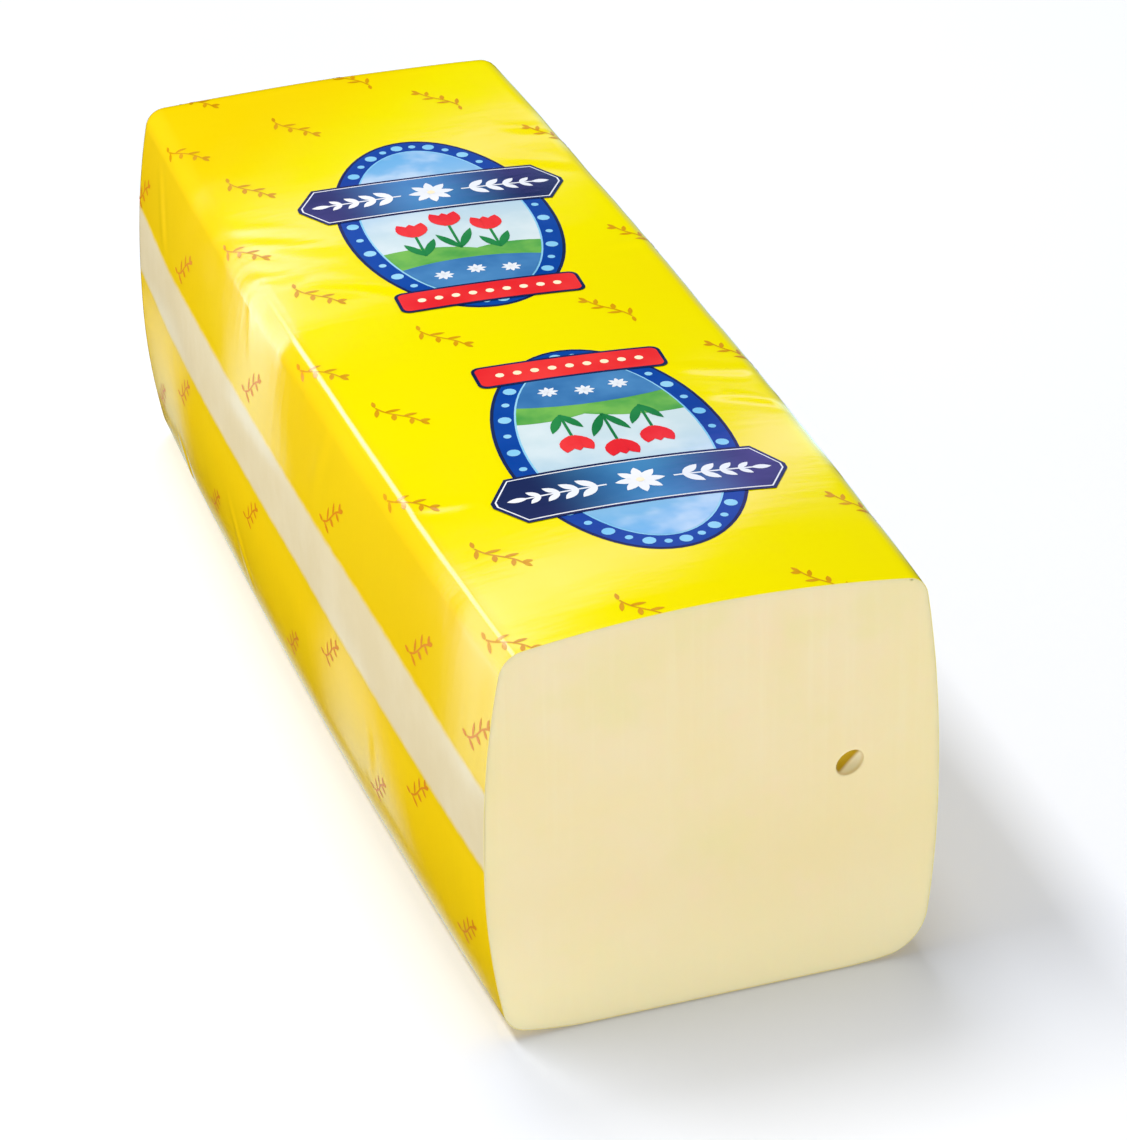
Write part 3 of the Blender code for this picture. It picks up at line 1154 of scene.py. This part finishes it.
# Where the film's gloss shows the cards: s, the two ends in t, the strength there and how pale it is
REAR_BAND = [(50, 68, 108, 0.8, 1), (45, 68, 106, 1.4, 1), (42, 68, 104, 1.7, 0), (30, 68, 101, 1.9, 0),
             (20, 68, 97, 1.8, 0), (10, 64, 92, 1.6, 0), (0, 58, 86, 1.5, 0), (-10, 54, 80, 1.5, 0),
             (-20, 46, 75, 1.8, 0), (-30, 36, 71, 2.4, 0), (-38, 28, 66, 3.2, 0), (-42, 24, 63, 3.6, 0)]
REAR_ARC = [(-8, 26, 36, 0.0, 0), (-15, 18, 29, 1.2, 0), (-20, 15, 26, 1.6, 0), (-26, 12, 23, 1.8, 0),
            (-32, 11, 22, 2.0, 0), (-38, 12, 24, 2.6, 0), (-42, 12, 30, 3.2, 0)]
REAR_SIDE = [(-42, 12, 62, 3.2, 0), (-46, 7, 56, 5.0, 0.3), (-50, 5, 52, 4.0, 0.8), (-54, 3, 50, 1.9, 1),
             (-60, 0, 48, 1.3, 1), (-68, -4, 46, 1.0, 1), (-80, -8, 43, 0.8, 1)]
NEAR_BAND = [(50, -102, -58, 1.4, 1), (45, -104, -60, 2.4, 1), (42, -104, -61, 2.8, 0),
             (36, -106, -66, 2.8, 0), (28, -110, -76, 2.4, 0), (15, -122, -86, 2.0, 0),
             (0, -136, -98, 1.9, 0), (-12, -142, -100, 1.9, 0), (-22, -146, -102, 2.2, 0),
             (-32, -150, -104, 2.5, 0), (-40, -154, -108, 2.6, 0), (-46, -158, -108, 3.6, 0.2),
             (-50, -172, -114, 2.6, 0.8), (-54, -180, -116, 1.7, 1), (-60, -180, -118, 1.3, 1),
             (-80, -180, -120, 0.8, 1)]
LOW_REAR_BAND = [(-86, 84, 134, 0.0, 1), (-94, 84, 138, 0.45, 1), (-106, 84, 142, 0.5, 1),
                 (-126, 84, 146, 0.5, 1)]
LOW_NEAR_BAND = [(-86, -88, -30, 0.0, 1), (-94, -90, -28, 0.4, 1), (-106, -98, -26, 0.5, 1),
                 (-126, -108, -22, 0.6, 1)]
EDGE_LINE = [(-45.2, -160, 22, 0.0, 1), (-45.6, -160, 22, 8.0, 1), (-46.2, -160, 22, 8.0, 1),
             (-46.6, -160, 22, 0.0, 1)]
RIGHT_STREAK = [(47, -54, -44, 0.0, 0), (43, -55, -44, 1.6, 0), (34, -50, -40, 1.3, 0),
                (28, -46, -38, 0.0, 0)]

# The same along the edges where the film turns out of sight, with s measured from there
LOW_RIM_SIDE = (-110.0, -160.0)
LOW_RIM = [(8, -150, 150, 0.0, 1), (4, -150, 150, 0.35, 1), (1.6, -150, 150, 0.8, 1),
           (0.1, -150, 150, 0.95, 1)]
RIGHT_RIM_SIDE = (40.0, 70.0)
RIGHT_RIM = [(-4.0, -150, 150, 0.0, 1), (-2.0, -150, 150, 0.5, 1), (-0.9, -150, 150, 0.9, 1),
             (-0.1, -150, 150, 0.95, 1)]


def card_material(name):
    """Glow as strong as the card's points say, a little uneven."""
    material, shader, wire = new_material(name, {"Base Color": (0, 0, 0, 1), "Specular IOR Level": 0.0,
                                                 "Roughness": 1.0, "Emission Strength": CARD_STRENGTH})
    glow = wire.node("ShaderNodeAttribute", {"attribute_name": "glow"}, output=2)
    pale = wire.node("ShaderNodeAttribute", {"attribute_name": "pale"}, output=2)
    uneven = 0.8 + noise(wire, object_place(wire), 26.0, 2.0) * 0.4
    link((glow * uneven).mix((0, 0, 0, 1), pale.mix(CARD_COOL, CARD_PALE)), shader, "Emission Color")
    return material


def view_at(place):
    """Unit vectors from points of the loaf to the camera."""
    view = np.array(CAMERA_PLACE) / MM - place
    return view / np.linalg.norm(view, axis=1, keepdims=True)


def turning_edge(t, seen, hidden):
    """Distance across at which the film turns out of the camera's sight, between a seen and a hidden one."""
    seen, hidden = np.full_like(t, seen), np.full_like(t, hidden)
    for _ in range(20):
        middle = (seen + hidden) / 2
        facing = (view_at(loaf_place(middle, t)[0]) * loaf_normal(middle, t)).sum(axis=1) > 0
        seen, hidden = np.where(facing, middle, seen), np.where(facing, hidden, middle)
    return seen


def mirror_card(name, stations, material, fade_in=0.42, fade_out=0.42, rim_side=None,
                distance=CARD_DISTANCE):
    """A glowing ribbon that stands where the camera sees it mirrored in the film at the given stations."""
    card = new_grid(name, 16, 8 * len(stations))
    uv = points_of(card)
    station = uv[:, 1] * (len(stations) - 1)
    s, start, end, strength, pale = (np.interp(station, range(len(stations)), row) for row in zip(*stations))
    t = start + (end - start) * uv[:, 0]
    if rim_side:
        s = s + turning_edge(t, *rim_side)
    place, _ = loaf_place(s, t)
    normal = loaf_normal(s, t)
    view = view_at(place)
    mirrored = 2 * (view * normal).sum(axis=1, keepdims=True) * normal - view
    put_points(card, (place + mirrored * distance) * MM)
    fade = smooth_step(uv[:, 0], 0, fade_in) * smooth_step(1 - uv[:, 0], 0, fade_out)
    for key, value in (("glow", strength / CARD_STRENGTH * fade), ("pale", pale)):
        card.data.attributes.new(key, "FLOAT", "POINT").data.foreach_set("value", value.astype(np.float32))
    card.data.materials.append(material)
    for kind in ("camera", "diffuse", "transmission", "volume_scatter", "shadow"):
        setattr(card, "visible_" + kind, False)


def make_lights():
    middle = (0, 0, 0.05)
    soft_box("key", (-0.80, 0.42, 1.95), middle, (0, 1, 0), 1.3, 0.34, 25.6)
    soft_box("rear", (0.05, 0.74, 1.95), middle, (1, 0, 0), 0.7, 0.7, 15.2)
    soft_box("front", (-0.05, -1.85, 0.42), middle, (1, 0, 0), 1.2, 0.4, 9.4)
    soft_box("front_low", (0.0, -0.52, 0.03), (0, -0.15, 0.04), (1, 0, 0), 0.6, 0.05, 0.27)
    soft_box("left_floor", (-0.19, 0.10, 0.075), (-0.19, 0.10, 0), (0, 1, 0), 0.26, 0.08, 0.09)
    soft_box("left", (-1.1, 0.40, 0.20), middle, (0, 1, 0), 1.0, 0.3, 4.1)
    glow = card_material("studio_card")
    mirror_card("card_rear_band", REAR_BAND, glow, 0.35, 0.5)
    mirror_card("card_rear_arc", REAR_ARC, glow, 0.5, 0.5)
    mirror_card("card_rear_side", REAR_SIDE, glow, 0.2, 0.3)
    mirror_card("card_near_band", NEAR_BAND, glow)
    mirror_card("card_low_rear", LOW_REAR_BAND, glow)
    mirror_card("card_low_near", LOW_NEAR_BAND, glow)
    mirror_card("card_low_rim", LOW_RIM, glow, 0.02, 0.02, LOW_RIM_SIDE)
    mirror_card("card_right_rim", RIGHT_RIM, glow, 0.02, 0.02, RIGHT_RIM_SIDE)
    mirror_card("card_edge_line", EDGE_LINE, glow, 0.02, 0.08, distance=CARD_DISTANCE - 15)
    mirror_card("card_right_streak", RIGHT_STREAK, glow)
    world = bpy.data.worlds.new("studio")
    world.use_nodes = True
    world.node_tree.nodes["Background"].inputs["Color"].default_value = (1, 1, 1, 1)
    world.node_tree.nodes["Background"].inputs["Strength"].default_value = 0.27
    world.cycles_visibility.glossy = False
    bpy.context.scene.world = world


def make_camera():
    data = bpy.data.cameras.new("camera")
    data.sensor_width = 36
    data.lens = FOCAL_PIXELS / IMAGE_TALL * data.sensor_width
    camera = bpy.data.objects.new("camera", data)
    right, up = Vector(CAMERA_RIGHT).normalized(), Vector(CAMERA_UP).normalized()
    turn = Matrix((right, up, right.cross(up))).transposed().to_4x4()
    camera.matrix_world = Matrix.Translation(CAMERA_PLACE) @ turn
    bpy.context.scene.collection.objects.link(camera)
    bpy.context.scene.camera = camera


cheese = make_cheese(cheese_material())
film = make_film_pieces(printed_film_material(), clear_film_material(), film_edge_material())
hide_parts("cheese")
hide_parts("film")
inks = make_inks()
make_emblems(inks)
make_sprigs(inks["sprig"])
make_floor()
make_lights()
make_camera()
bpy.context.scene.view_settings.view_transform = "Standard"
deselect()
